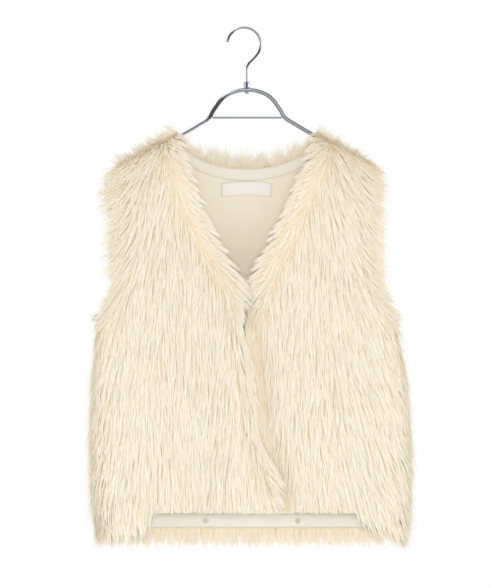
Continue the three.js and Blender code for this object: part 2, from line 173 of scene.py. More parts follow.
def look_up(table, column, z):
    """The value of a table's column at a height, half eased between its rows."""
    heights, values = np.array(table["z"]), np.array(table[column], float)
    row = np.clip(np.searchsorted(-heights, -np.asarray(z)), 1, len(heights) - 1)
    share = np.clip((heights[row - 1] - z) / (heights[row - 1] - heights[row]), 0, 1)
    return mix(values[row - 1], values[row], (share + smooth(share)) / 2)


# Body surface


def arm_height(x):
    return KNEE_Z - ARM_SLOPE * (np.abs(x) - KNEE_X)


def seam_height(x):
    return arm_height(x) + (TUBE_RADIUS + GAP) * math.hypot(1, ARM_SLOPE)


def half_depth(z):
    share = (DEPTH_TOP[0] - z) / (DEPTH_TOP[0] - DEPTH_BOTTOM[0])
    return mix(DEPTH_TOP[1], DEPTH_BOTTOM[1], share)


def outer_edge(z):
    """From the middle to the armhole or the side seam, along the cloth."""
    girth = look_up(OUTLINE, "half_width", z) - half_depth(z) * (1 - math.pi / 2)
    above = np.clip((z - UNDERARM) / ARMHOLE_ROUNDING, 0, 1)
    return girth - ARMHOLE_CUT * np.sqrt(1 - (1 - above) ** 2)


def lap_height(z):
    return smooth((LAP_FROM - z) / (LAP_FROM - LAP_FULL))


def over_tip(z):
    """Where the upper front's fur ends at a height."""
    return LAP_TIP - look_up(OVER_EDGE, "reach", z)


def lap_under(x, z):
    return lap_height(z) * smooth((over_tip(z) + SINK_WIDTH - x) / SINK_WIDTH)


def lap_over(x, z):
    return lap_height(z) * ease(x, RISE_X, RISE_WIDTH)


class Front:
    """A front panel: u runs from its free edge to its side, t from the shoulder to the hem.

    Its hem drops from the share side_from on, and its fur is trimmed as far out as trim_to.
    """

    face = -1
    start = 0

    def __init__(self, name, side, edge, side_from, trim_to):
        self.name, self.side, self.edge = name, side, edge
        self.side_from, self.trim_to, self.turn = side_from, trim_to, -side

    def top(self, u):
        return seam_height(mix(NECK_HALF_WIDTH, SHOULDER_TIP, u))

    def hem_side(self, u):
        return smooth((u - self.side_from) / (1 - self.side_from))

    def hem(self, u):
        return mix(FRONT_HEM_MIDDLE, FRONT_HEM_SIDE, self.hem_side(u))

    def across(self, u, t):
        inner = look_up(self.edge, "reach", mix(self.top(0), self.hem(0), t))
        outer = outer_edge(mix(self.top(1), self.hem(1), t))
        inner = np.where(t <= 0, NECK_HALF_WIDTH, inner)
        return mix(inner, np.where(t <= 0, SHOULDER_TIP, outer), u)

    def lap(self, x, z):
        return LAP_RISE * lap_over(x, z) if self.side < 0 else -LAP_SINK * lap_under(x, z)


class Back:
    """The back panel: u runs from -1 to 1 across it."""

    name, side, face, start, turn = "back", 1, 1, -1, 1

    def start_share(self, u):
        share, corner = np.abs(u), NECK_HALF_WIDTH / SHOULDER_TIP
        beyond = mix(corner, 1, (share - NECK_SHARE) / (1 - NECK_SHARE))
        return np.where(share <= NECK_SHARE, share / NECK_SHARE * corner, beyond)

    def top(self, u):
        x = self.start_share(u) * SHOULDER_TIP
        round_off = np.sqrt(np.clip(1 - (x / NECK_HALF_WIDTH) ** 2, 0, 1))
        neck = mix(NECK_BACK, seam_height(NECK_HALF_WIDTH), 1 - round_off)
        return np.where(np.abs(u) < NECK_SHARE, neck, seam_height(x))

    def hem(self, u):
        return BACK_HEM + 0 * u

    def across(self, u, t):
        share = mix(self.start_share(u), np.abs(u), np.minimum(t / NECK_BLEND, 1))
        width = outer_edge(mix(self.top(np.array(1.0)), BACK_HEM, t))
        return np.sign(u) * share * np.where(t <= 0, SHOULDER_TIP, width)

    def lap(self, x, z):
        return 0 * x


def on_cloth(panel, u, t):
    """Points on the inside of a panel's cloth."""
    z = mix(panel.top(u), panel.hem(u), t)
    along, depth = panel.across(u, t), half_depth(z)
    flat = look_up(OUTLINE, "half_width", z) - depth
    turn = np.clip((np.abs(along) - flat) / depth, 0, math.pi / 2)
    x = panel.side * np.sign(along) * (np.minimum(np.abs(along), flat) + depth * np.sin(turn))
    drop = np.clip((seam_height(x) - z) / SHOULDER_ROUNDING, 0, 1)
    y = np.sqrt(1 - (1 - drop) ** 2) * depth * np.cos(turn) + panel.lap(x, z)
    x = x + look_up(OUTLINE, "shift", z)
    return np.stack([x, panel.face * (GAP / 2 + np.maximum(y, 0)), z], axis=-1)


def unit(vectors):
    return vectors / np.maximum(np.linalg.norm(vectors, axis=-1, keepdims=True), 1e-12)


def directions(panel, u, t):
    """The directions across a panel, down it and out of it."""
    step = 0.002
    u0, t0 = np.clip(u, panel.start + step, 1 - step), np.clip(t, step, 1 - step)
    across = unit(on_cloth(panel, u0 + step, t0) - on_cloth(panel, u0 - step, t0))
    down = unit(on_cloth(panel, u0, t0 + step) - on_cloth(panel, u0, t0 - step))
    return across, down, unit(np.cross(across, down) * panel.turn)


FRONT_RIGHT = Front("front_right", -1, OVER_EDGE, side_from=0.67, trim_to=134 * MM)
FRONT_LEFT = Front("front_left", 1, UNDER_EDGE, side_from=0.8, trim_to=156 * MM)
BACK = Back()


# Shader helpers


def preset(made, **sockets):
    """Values for a node's inputs, in whose names an underscore is a space."""
    for socket, value in sockets.items():
        made.inputs[socket.replace("_", " ")].default_value = value


def material(name, colour, roughness, **sockets):
    made = bpy.data.materials.new(name)
    made.use_nodes = True
    shader = made.node_tree.nodes["Principled BSDF"]
    preset(shader, Base_Color=(*colour, 1), Roughness=roughness, **sockets)
    return made, made.node_tree, shader


def node(tree, kind, **values):
    made = tree.nodes.new(kind)
    for name, value in values.items():
        setattr(made, name, value)
    return made


def connect(tree, *rows):
    """Links, each from a node's output to another node's input."""
    for source, output, target, socket in rows:
        tree.links.new(source.outputs[output], target.inputs[socket])


def mottle_group():
    """Soft colour changes between two tones, with a fine grain: colour, grain value."""
    group = bpy.data.node_groups.new("mottle", "ShaderNodeTree")
    face = group.interface
    for name in ("Tone A", "Tone B"):
        face.new_socket(name, in_out="INPUT", socket_type="NodeSocketColor")
    for name in ("Scale", "Grain Scale"):
        face.new_socket(name, in_out="INPUT", socket_type="NodeSocketFloat")
    face.new_socket("Colour", in_out="OUTPUT", socket_type="NodeSocketColor")
    face.new_socket("Grain", in_out="OUTPUT", socket_type="NodeSocketFloat")
    given, made = group.nodes.new("NodeGroupInput"), group.nodes.new("NodeGroupOutput")
    where = group.nodes.new("ShaderNodeTexCoord")
    noise = node(group, "ShaderNodeTexNoise")
    preset(noise, Detail=4)
    grain = node(group, "ShaderNodeTexNoise")
    preset(grain, Detail=3)
    blend = node(group, "ShaderNodeMix", data_type="RGBA")
    connect(group, (where, "Object", noise, "Vector"), (where, "Object", grain, "Vector"),
            (given, "Scale", noise, "Scale"), (given, "Grain Scale", grain, "Scale"),
            (noise, "Fac", blend, "Factor"), (given, "Tone A", blend, "A"),
            (given, "Tone B", blend, "B"), (blend, "Result", made, "Colour"),
            (grain, "Fac", made, "Grain"))
    return group


MOTTLE = mottle_group()


def mottle(tree, tone_a, tone_b, scale, grain_scale):
    made = tree.nodes.new("ShaderNodeGroup")
    made.node_tree = MOTTLE
    preset(made, Tone_A=(*tone_a, 1), Tone_B=(*tone_b, 1), Scale=scale, Grain_Scale=grain_scale)
    return made


def bump(tree, shader, height, distance):
    made = node(tree, "ShaderNodeBump")
    preset(made, Distance=distance)
    tree.links.new(height, made.inputs["Height"])
    tree.links.new(made.outputs["Normal"], shader.inputs["Normal"])


def fur_material():
    """Each strand goes from a tan root to a cream tip, darker where shade is painted on it, and no
    two have quite one tone.
    """
    made, tree, shader = material("fur", (0.95, 0.90, 0.78), 0.6, Specular_IOR_Level=0.2)
    strand = node(tree, "ShaderNodeAttribute", attribute_name="strand")
    parts = node(tree, "ShaderNodeSeparateColor")
    along = node(tree, "ShaderNodeValToRGB")
    along.color_ramp.elements[0].color = (0.86, 0.69, 0.45, 1)
    along.color_ramp.elements[1].color = (0.97, 0.94, 0.87, 1)
    for place, colour in ((0.25, (0.93, 0.82, 0.62, 1)), (0.55, (0.96, 0.90, 0.78, 1))):
        along.color_ramp.elements.new(place).color = colour
    tone = node(tree, "ShaderNodeMix", data_type="RGBA", blend_type="MULTIPLY")
    preset(tone, B=(0.95, 0.92, 0.85, 1))
    connect(tree, (strand, "Color", parts, "Color"), (parts, "Red", along, "Fac"),
            (parts, "Green", tone, "Factor"), (along, "Color", tone, "A"),
            (tone, "Result", shader, "Base Color"))
    return made


def backing_material():
    """The short dense underfur between the strands, warm and matted."""
    made, tree, shader = material("backing", (0.9, 0.8, 0.62), 0.9)
    tones = mottle(tree, (0.96, 0.85, 0.64), (0.92, 0.78, 0.54), scale=60, grain_scale=900)
    connect(tree, (tones, "Colour", shader, "Base Color"))
    bump(tree, shader, tones.outputs["Grain"], 1.2 * MM)
    return made


def cloth_material(name, tone_a, tone_b, roughness, weave, depth, sheen):
    """A cloth with a fine weave of crossing threads."""
    made, tree, shader = material(name, tone_a, roughness, Sheen_Weight=sheen,
                                  Specular_IOR_Level=0.25)
    tones = mottle(tree, tone_a, tone_b, scale=18, grain_scale=2200)
    where = tree.nodes.new("ShaderNodeTexCoord")
    both = node(tree, "ShaderNodeMath", operation="ADD")
    whole = node(tree, "ShaderNodeMath", operation="ADD")
    for index, direction in enumerate("XZ"):
        wave = node(tree, "ShaderNodeTexWave", bands_direction=direction)
        preset(wave, Scale=weave, Distortion=0.6)
        connect(tree, (where, "Object", wave, "Vector"), (wave, "Fac", both, index))
    connect(tree, (tones, "Colour", shader, "Base Color"), (both, "Value", whole, 0),
            (tones, "Grain", whole, 1))
    bump(tree, shader, whole.outputs["Value"], depth)
    return made


def chrome_material():
    made, tree, shader = material("chrome", (0.62, 0.65, 0.72), 0.08, Metallic=1.0)
    tones = mottle(tree, (0.66, 0.69, 0.76), (0.58, 0.61, 0.68), scale=40, grain_scale=500)
    worn = node(tree, "ShaderNodeMapRange")
    preset(worn, To_Min=0.04, To_Max=0.14)
    connect(tree, (tones, "Colour", shader, "Base Color"), (tones, "Grain", worn, "Value"),
            (worn, "Result", shader, "Roughness"))
    return made


FUR = fur_material()
BACKING = backing_material()
# Two tones, roughness, scale and depth of the weave, sheen
CLOTHS = {
    "lining": ((0.99, 0.92, 0.765), (0.965, 0.885, 0.725), 0.9, 700, 0.08 * MM, 0.1),
    # The hem band and the neck band are one cloth in a lighter and a darker copy: painted light on
    # the hem band, which lies in shade under the fronts, and painted shade on the neck band.
    "band": ((0.99, 0.955, 0.865), (0.97, 0.925, 0.825), 0.8, 500, 0.12 * MM, 0.2),
    "neck_band": ((0.985, 0.93, 0.82), (0.965, 0.90, 0.79), 0.8, 500, 0.12 * MM, 0.2),
    "label": ((0.99, 0.955, 0.885), (0.96, 0.92, 0.855), 0.5, 900, 0.06 * MM, 0.2),
    "thread": ((0.84, 0.79, 0.71), (0.78, 0.73, 0.64), 0.55, 1500, 0.04 * MM, 0.1),
    "pale_thread": ((0.86, 0.79, 0.67), (0.80, 0.72, 0.60), 0.6, 1500, 0.04 * MM, 0.1),
}
LINING, HEM_BAND_PAINTED_LIGHT, NECK_BAND_PAINTED_SHADE, LABEL, THREAD, PALE_THREAD = (
    cloth_material(name, *row) for name, row in CLOTHS.items())
CHROME = chrome_material()


# Mesh helpers


def show(name, form, look):
    """A visible piece from a mesh or a curve."""
    made = bpy.data.objects.new(name, form)
    bpy.context.scene.collection.objects.link(made)
    form.materials.append(look)
    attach(made, "root")
    return made


def from_arrays(name, points, faces, smooth_faces=True, attributes=None):
    """One mesh from arrays: points (n, 3) and a list of face arrays of 3 or 4 corners."""
    mesh = bpy.data.meshes.new(name)
    loops = np.concatenate([part.ravel() for part in faces]).astype(np.int32)
    sizes = np.concatenate([np.full(len(part), part.shape[1]) for part in faces])
    starts = np.concatenate([[0], np.cumsum(sizes)[:-1]]).astype(np.int32)
    mesh.vertices.add(len(points))
    mesh.vertices.foreach_set("co", np.asarray(points, np.float32).ravel())
    mesh.loops.add(len(loops))
    mesh.loops.foreach_set("vertex_index", loops)
    mesh.polygons.add(len(starts))
    mesh.polygons.foreach_set("loop_start", starts)
    mesh.polygons.foreach_set("use_smooth", np.full(len(starts), smooth_faces))
    for title, values in (attributes or {}).items():
        layer = mesh.attributes.new(title, "FLOAT_COLOR", "POINT")
        layer.data.foreach_set("color", np.asarray(values, np.float32).ravel())
    mesh.update(calc_edges=True)
    mesh.validate()
    return mesh


def to_mesh(name, shape, smooth_faces=True):
    mesh = bpy.data.meshes.new(name)
    shape.to_mesh(mesh)
    shape.free()
    mesh.polygons.foreach_set("use_smooth", np.full(len(mesh.polygons), smooth_faces))
    return mesh


def cloth_grid(name, place, columns, rows):
    """A grid of cloth: place takes shares across and down and gives the points."""
    shape = bmesh.new()
    bmesh.ops.create_grid(shape, x_segments=columns, y_segments=rows, size=0.5)
    flat = np.array([vertex.co[:] for vertex in shape.verts])
    for vertex, point in zip(shape.verts, place(flat[:, 0] + 0.5, 0.5 - flat[:, 1])):
        vertex.co = point
    return to_mesh(name, shape)


def thicken(piece, thickness, outward):
    """Gives a sheet its thickness, towards -Y where outward is -1 and towards +Y where it is 1."""
    mesh = piece.data
    if np.mean([face.normal.y * outward for face in mesh.polygons]) < 0:
        mesh.flip_normals()
    solidify = piece.modifiers.new("thickness", "SOLIDIFY")
    solidify.thickness, solidify.offset = thickness, 1
    solidify.use_even_offset = False


def thread_shape():
    """Points and faces of a short thread, rounded at both ends, one unit long and one across."""
    shape = bmesh.new()
    bmesh.ops.create_uvsphere(shape, u_segments=8, v_segments=6, radius=0.5)
    shape.verts.index_update()
    points = np.array([vertex.co[:] for vertex in shape.verts])
    faces = {}
    for face in shape.faces:
        corners = [vertex.index for vertex in face.verts]
        faces.setdefault(len(corners), []).append(corners)
    shape.free()
    return points, [np.array(group) for group in faces.values()]


FORWARD = np.array([[0, -1.0, 0]])
THREAD_FLATNESS = 0.8


def stitches(name, starts, ends, thickness, look):
    """Threads laid from starts to ends, standing a little out of the cloth."""
    middle, span = (starts + ends) / 2, ends - starts
    along = unit(span)
    side = unit(np.cross(along, FORWARD))
    up = np.cross(side, along)
    length = np.linalg.norm(span, axis=-1, keepdims=True)
    axes = np.stack([side * thickness, up * thickness * THREAD_FLATNESS, along * length], axis=1)
    base, groups = thread_shape()
    points = middle[:, None] + np.einsum("vk,nkc->nvc", base, axes)
    shift = np.arange(len(middle))[:, None, None] * len(base)
    faces = [(group[None] + shift).reshape(-1, group.shape[1]) for group in groups]
    return show(name, from_arrays(name, points.reshape(-1, 3), faces), look)


# Fur strands


def scatter(random, spacing, panel):
    """Even but irregular places on a panel, as shares across and down it."""
    rows = max(1, int(round(PANEL_HEIGHT / (spacing * ROW_SHARE))))
    u_list, t_list = [], []
    for row in range(rows):
        t = (row + 0.5) / rows
        ends = panel.across(np.array([float(panel.start), 1.0]), np.array([t, t]))
        count = max(2, int(round(abs(ends[1] - ends[0]) / spacing)))
        u_list.append(mix(panel.start, 1, (np.arange(count) + random.random(count)) / count))
        t_list.append(t + (random.random(count) - 0.5) / rows)
    return np.concatenate(u_list), np.clip(np.concatenate(t_list), EDGE_SHARE, 1 - EDGE_SHARE)


def sway(points, size, phase):
    """A smooth, uneven value from -1 to 1 over the body."""
    x, z = points[:, 0] / size, points[:, 2] / size
    first = np.sin(1.7 * x + 0.9 * z + phase) * np.cos(1.3 * z - 0.6 * x + 2 * phase)
    second = np.sin(3.1 * x - 2.3 * z + 3 * phase) * 0.5
    return (first + second) / 1.5


def side_of(u):
    return np.where(u < 0, -1.0, 1.0)


def side_gap(panel, u, t):
    """How far a place is from the armhole or the side seam, along the cloth."""
    return np.abs(panel.across(side_of(u), t)) - np.abs(panel.across(u, t))


def short_fur(panel, u, t):
    """The share of its thickness that the short fur has: it thins towards the top and sides."""
    down_from_top = t * (panel.top(u) - panel.hem(u))
    at_top = mix(THIN_TOP, 1, smooth(down_from_top / THIN_TOP_WIDTH))
    return at_top * mix(THIN_SIDE, 1, smooth(side_gap(panel, u, t) / THIN_SIDE_WIDTH))


def fall_of(panel, u, t, cloth):
    """The way straight down the cloth, which hangs free below its hem."""
    fall = on_cloth(panel, u, np.minimum(t + FALL_STEP, 1)) - cloth
    down = np.zeros((len(u), 3))
    down[:, 1] = np.where(t < FALL_END, fall[:, 1] / np.maximum(-fall[:, 2], 1 * MM), 0)
    down[:, 2] = -1
    return down


def comb(panel, u, t):
    """How the fur lies at each place: root, outward and lie directions, length, height, shade."""
    cloth = on_cloth(panel, u, t)
    across, _, out = directions(panel, u, t)
    root = cloth + out * (ROOTS * short_fur(panel, u, t))[:, None]
    x, z = root[:, 0], root[:, 2]
    down = fall_of(panel, u, t, cloth)
    sideways = unit(np.cross(down, out))
    outward = sideways * (side_of(u) * np.sign(np.sum(sideways * across, axis=-1)))[:, None]
    gap, top_gap = side_gap(panel, u, t), panel.top(u) - z
    armhole = ease(z, ARM_LOW, ARM_WIDTH)
    to_arm = fade(gap, ARM_FRINGE) * armhole
    lean = np.where(x < 0, *SIDE_LEAN) * ease(np.abs(x), LEAN_X, LEAN_WIDTH)
    corner = ease(-z, CORNER_DROP, CORNER_WIDTH[0]) * ease(-x, CORNER_X, CORNER_WIDTH[1])
    fan = mix(ARM_FAN, np.where(x < 0, *TIP_FAN), fade(top_gap, TIP_WIDTH))
    lift = SIDE_LIFT * fade(gap, SIDE_WIDTH) * (1 - armhole)
    fur = {
        "root": root, "out": out, "height": np.full(len(u), PILE_HEIGHT),
        "lie": unit(down) + outward * (lean - CORNER_TURN * corner + to_arm * fan)[:, None]
        + out * lift[:, None],
        "length": STRAND_LENGTH * mix(1, np.where(x < 0, *ARM_REACH), to_arm),
    }
    fur["length"] *= 1 - PIT_TRIM * to_arm * peak(z, PIT_Z, PIT_HEIGHT) * smooth(-x / PIT_REACH)
    if panel.face < 0:
        comb_front(panel, u, t, fur, outward, top_gap)
    else:
        comb_back(u, t, fur, top_gap)
    angle = sum(WAVE * sway(root, size, phase) for size, phase in zip(WAVE_SIZES, (1.3, 4.1)))
    fur["lie"] = unit(unit(fur["lie"]) + outward * angle[:, None])
    return fur


def comb_front(panel, u, t, fur, outward, top_gap):
    """The fur turns over the free edge, parts at the shoulder seam and lies flat under the lap."""
    root = fur["root"]
    x, z = root[:, 0], root[:, 2]
    edge_gap = panel.across(u, t) - panel.across(np.zeros(len(u)), t)
    open_neck = ease(z, NECK_FROM, NECK_WIDTH)
    to_edge = 1 - ease(edge_gap, EDGE_FROM, EDGE_WIDTH)
    flick = EDGE_TURN[0] + FLICK_TURN * peak(z, FLICK, FLICK_HEIGHT)
    fur["lie"] -= outward * (to_edge * mix(flick, EDGE_TURN[1], open_neck))[:, None]
    fur["length"] *= 1 - to_edge * mix(*EDGE_TRIM, open_neck)
    fur["length"] *= 1 + V_GROWTH * to_edge * peak(z, V_FOOT, V_HEIGHT)
    fur["height"] *= mix(1, EDGE_HEIGHT[0], to_edge * (1 - open_neck))
    fur["height"] *= mix(1, EDGE_HEIGHT[1], to_edge * open_neck)

    parting = PART_TURN * fade(top_gap, PART_WIDTH) * (1 - to_edge)
    fur["lie"] += outward * parting[:, None]
    below_seam = smooth(top_gap / SEAM_WIDTH)
    fur["length"] *= mix(SEAM_LENGTH, 1, below_seam)
    fur["height"] *= mix(SEAM_HEIGHT, 1, below_seam)
    # Painted shade in tan lines between the locks just below the shoulder seam, where the fur parts.
    parting_shade = (0.3 + 0.3 * sway(root, 4 * MM, 0.8)) * fade(top_gap, SEAM_SHADE)
    # Painted shade in a thin line where the neck's edge rolls over, and painted light lifting the
    # shade along the open neck's edge.
    roll_shade = 0.1 * peak(edge_gap, ROLL, ROLL_SHADE_WIDTH) * open_neck
    fur["shade"] = np.maximum(parting_shade, roll_shade) - 0.15 * to_edge * open_neck

    if panel.side > 0:
        fur["height"] *= mix(1, LAP_HEIGHT, lap_under(x, z))
        # Beside the upper front's edge the fur is shorter and painted darker, as the shadow that
        # edge casts.
        valley = lap_height(z) * peak(x - over_tip(z), VALLEY_GAP, VALLEY_WIDTH)
        valley_shade = (0.6 + 0.25 * sway(root, 7 * MM, 2.9)) * valley
        fur["shade"] = np.maximum(fur["shade"], valley_shade)
        fur["length"] *= 1 - VALLEY_TRIM * valley


def comb_back(u, t, fur, top_gap):
    """The fur along the top of the back stands up in tufts."""
    root = fur["root"]
    rising = 1 - ease(top_gap, CREST_FROM, CREST_WIDTH)
    at_shoulder = ease(np.abs(u), SHOULDER_U, SHOULDER_WIDTH)
    aside = side_of(u) * mix(*CREST_ASIDE, at_shoulder) + 0.35 * sway(root, 12 * MM, 0.4)
    upwards = np.full(len(u), CREST_UP)
    crest = unit(np.stack([aside, mix(*CREST_BACK, at_shoulder), upwards], axis=-1))
    tuft = mix(*CREST_TUFT, at_shoulder) + 0.2 * sway(root, 5 * MM, 2.2)
    tuft *= mix(1, LEFT_TUFT, ease(u, LEFT_U, LEFT_WIDTH))
    fur["lie"] = unit(mix(fur["lie"], crest, rising[:, None]))
    fur["out"] = unit(mix(fur["out"], CREST_FACE, rising[:, None]))
    fur["length"] *= mix(1, tuft, rising)
    fur["height"] *= mix(BACK_HEIGHT, 1, smooth(top_gap / BACK_WIDTH)) * mix(1, CREST_HEIGHT, rising)
    at_hem = ease(t, LOW_T, LOW_WIDTH)
    # Painted light on the crest, to offset the painted side shade its turned strands show, and
    # uneven painted shade on the back's fur below the hem.
    fur["shade"] = -0.35 * rising + at_hem * (0.3 * sway(root, 6 * MM, 1.9) + 0.05)


LOCK_TURN, LOCK_LENGTHS, LOCK_HEIGHTS = 0.06, (0.75, 1.2), (0.6, 1.0)


def make_locks(panel, random):
    """The points that the strands of each lock are drawn to, with a tone and a curl for each."""
    fur = comb(panel, *scatter(random, LOCK_SPACING, panel))
    root, out, lie = fur["root"], fur["out"], fur["lie"]
    count = len(root)
    lie = unit(lie + np.cross(out, lie) * random.normal(0, LOCK_TURN, (count, 1)))
    length = fur["length"] * random.uniform(*LOCK_LENGTHS, count)
    height = fur["height"] * random.uniform(*LOCK_HEIGHTS, count)
    tip = root + lie * length[:, None] + out * height[:, None]
    tree = KDTree(count)
    for index, place in enumerate(root):
        tree.insert(place, index)
    tree.balance()
    return tree, tip, random.random(count), random.normal(0, 1, count)


SHORTEST, LONGEST, STRAND_HEIGHTS = 0.6, 1.2, (0.55, 1.0)
GATHER_SHARES, TIP_STRAY = (0.7, 1.25), 1.0 * MM
LOCK_CURL, STRAND_CURL = 1.6 * MM, 0.7 * MM
WIDTH_SHARES = (0.65, 1.2)


def grow(panel, u, t, locks, random, width, reach, lift, gather, tan=-1, spread=0, turned=0):
    """Strands at places on a panel.

    Gather is how far a lock draws their tips together, tan the least shade, spread how unlike
    they are, and turned the share that shows its other face.
    """
    fur = comb(panel, u, t)
    root, out = fur["root"], fur["out"]
    tree, lock_tip, lock_tone, lock_curl = locks
    nearest = np.array([tree.find(place)[1] for place in root])
    count = len(root)
    length = fur["length"] * reach * random.uniform(SHORTEST - spread, LONGEST, count)
    height = fur["height"] * lift * random.uniform(*STRAND_HEIGHTS, count)
    lie = unit(fur["lie"] + spread * random.normal(0, 1, (count, 3)))
    tip = root + lie * length[:, None] + out * height[:, None]
    drawn = root + (lock_tip[nearest] - root) * reach
    share = gather * random.uniform(*GATHER_SHARES, count)
    tip = mix(tip, drawn, share[:, None]) + random.normal(0, TIP_STRAY, (count, 3))
    curl = LOCK_CURL * lock_curl[nearest] + random.normal(0, STRAND_CURL, count)
    return {
        "root": root, "out": out, "lie": lie, "length": length, "height": height,
        "tip": tip, "curl": curl, "shade": np.maximum(fur["shade"], tan),
        "turned": np.where(random.random(count) < turned, -1.0, 1.0),
        "radius": width * random.uniform(*WIDTH_SHARES, count),
        "tone": 0.5 * random.random(count) + 0.5 * lock_tone[nearest],
    }


def join(batches):
    return {title: np.concatenate([batch[title] for batch in batches]) for title in batches[0]}


def pick(strands, chosen):
    return {title: values[chosen] for title, values in strands.items()}


def shorten(strands, share):
    """Cuts strands to a share of their length."""
    strands["tip"] = strands["root"] + (strands["tip"] - strands["root"]) * share[:, None]
    for title in ("length", "height", "curl"):
        strands[title] = strands[title] * share


FIRST_UP, FIRST_ALONG = 0.75, 0.14  # the two middle points of a strand's curve
THIRD_UP, THIRD_SHARE = 0.42, 0.64
RING_SHARES = (0.0, 0.42, 0.76)
RING_WIDTHS = (0.85, 1.0, 0.62)
RIDGE = 0.24  # height of a strand's ridge to its half width
# The sides of each strand are painted darker than its ridge, as the shade between the strands.
SHADED_SIDE_TONE, ROOT_TONE = 0.62, 0.25  # where a strand's sides and root are from tan, 0, to cream, 1


def strand_points(strands):
    """Three-sided tapered strands, each on a curve from its root to its tip."""
    root, out, lie, tip = (strands[title] for title in ("root", "out", "lie", "tip"))
    length, height = strands["length"][:, None], strands["height"][:, None]
    sideways = unit(np.cross(lie, out)) * strands["curl"][:, None]
    first = root + out * height * FIRST_UP + lie * length * FIRST_ALONG + sideways
    third = mix(root, tip, THIRD_SHARE) + out * height * THIRD_UP - sideways
    rings = []
    for share, width in zip(RING_SHARES, RING_WIDTHS):
        left = 1 - share
        centre = (root * left ** 3 + first * (3 * left * left * share)
                  + third * (3 * left * share * share) + tip * share ** 3)
        slope = unit(left * left * (first - root) + 2 * left * share * (third - first)
                     + share * share * (tip - third))
        wide = unit(np.cross(slope, out)) * strands["turned"][:, None]
        high = np.cross(wide, slope)
        for corner in range(3):
            angle = math.pi / 2 + corner * 2 * math.pi / 3
            reach = wide * math.cos(angle) + high * (RIDGE * math.sin(angle))
            rings.append(centre + reach * (strands["radius"] * width)[:, None])
    return np.stack([*rings, tip], axis=1)


def strand_faces(count):
    """Faces of one strand, its root, sides and pointed tip, repeated for each strand."""
    quads, triangles = [], [(0, 2, 1)]
    rings = len(RING_SHARES)
    for ring in range(rings - 1):
        for corner in range(3):
            a, b = ring * 3 + corner, ring * 3 + (corner + 1) % 3
            quads.append((a, b, b + 3, a + 3))
    last, tip = (rings - 1) * 3, rings * 3
    triangles += [(last + k, last + (k + 1) % 3, tip) for k in range(3)]
    shift = np.arange(count)[:, None, None] * (tip + 1)
    return [(np.array(kind)[None] + shift).reshape(-1, len(kind[0])) for kind in (quads, triangles)]


def fur_mesh(name, strands):
    """The strands as one mesh, whose colour tells how creamy each point is, with painted shade on
    the strands' sides and at shaded places, and the strand's tone.
    """
    points = strand_points(strands)
    count, corners = points.shape[:2]
    colour = np.ones((count, corners, 4))
    # Painted shade: the shade of each place darkens its whole strand, and the sides darken below the
    # ridge.
    lit = 1 - strands["shade"][:, None]
    ridge = np.append(np.tile((1.0, SHADED_SIDE_TONE, SHADED_SIDE_TONE), len(RING_SHARES)), 1.0)
    along = mix(ROOT_TONE, 1, np.append(np.repeat(RING_SHARES, 3), 1.0))
    colour[:, :, 0] = (along * ridge)[None] * lit
    colour[:, :, 1] = strands["tone"][:, None]
    mesh = from_arrays(name, points.reshape(-1, 3), strand_faces(count), False,
                       {"strand": colour.reshape(-1, 4)})
    return show(name, mesh, FUR)


LONG_STRAY, TRIM_STRAY, TRIM_END_STRAY, TRIM_END_WIDTH = 6 * MM, 0.7 * MM, 4 * MM, 30 * MM
LEAST_SHARE = 0.22  # a strand cut shorter than this is left out


def trim_hem(panel, strands, random):
    """The fronts' fur is cut straight along the hem, and longer at the sides and on the back."""
    root, count = strands["root"], len(strands["root"])
    line = LONG_HEM + random.normal(0, LONG_STRAY, count)
    if panel.face < 0:
        beyond = np.abs(root[:, 0]) - panel.trim_to + random.normal(0, TRIM_END_STRAY, count)
        straight = HEM_TRIM + random.normal(0, TRIM_STRAY, count)
        line = mix(straight, line, smooth(beyond / TRIM_END_WIDTH))
    top, low = root[:, 2], strands["tip"][:, 2]
    share = np.where(low < line, (top - line) / np.maximum(top - low, 1e-6), 1)
    kept = share > LEAST_SHARE
    cut = pick(strands, kept)
    shorten(cut, share[kept])
    return cut


ROW_CROWDING = 1.3  # the cloth's rows lie closer towards the top


def panel_shell(panel, columns, rows):
    """The backing cloth of a panel, on the inside that the solid has."""
    shares = []

    def place(across, down):
        u, t = mix(panel.start, 1, across), down ** ROW_CROWDING
        shares.extend(short_fur(panel, u, t))
        return on_cloth(panel, u, t)
    name = panel.name + "_cloth"
    made = show(name, cloth_grid(name, place, columns, rows), BACKING)
    thicken(made, CLOTH, panel.face)
    group = made.vertex_groups.new(name="short_fur")
    for index, share in enumerate(shares):
        group.add([index], float(share), "REPLACE")
    made.modifiers["thickness"].vertex_group = group.name
    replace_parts(made, panel.name)
    return made


def dress(panel, seed, spacing, fringes, keep, columns, rows, split):
    """A panel's cloth with its fur in two pieces, above and below a height."""
    shell = panel_shell(panel, columns, rows)
    random = np.random.default_rng(seed)
    locks = make_locks(panel, random)
    under = scatter(random, spacing * 1.75, panel)
    over = scatter(random, spacing, panel)
    # The under layer is painted tan, as the shade in the gaps between the upper strands.
    batches = [grow(panel, *under, locks, random, width=1.9 * STRAND_WIDTH, reach=0.85, lift=0.8,
                    gather=0.35, tan=0.4),
               grow(panel, *over, locks, random, width=STRAND_WIDTH, reach=1, lift=1, gather=0.68)]
    for count, u_range, t_range, width, reach, lift, gather, spread in fringes:
        u, t = random.uniform(*u_range, count), random.uniform(*t_range, count)
        batches.append(grow(panel, u, t, locks, random, width, reach, lift, gather,
                            spread=spread, turned=0.5))
    strands = join(batches)
    strands = pick(strands, keep(strands["root"]))
    strands = trim_hem(panel, strands, random)
    height = strands["root"][:, 2]
    furs = [fur_mesh(panel.name + "_fur_upper", pick(strands, height >= split)),
            fur_mesh(panel.name + "_fur_lower", pick(strands, height < split))]
    return shell, furs


def keep_all(root):
    return np.ones(len(root), bool)


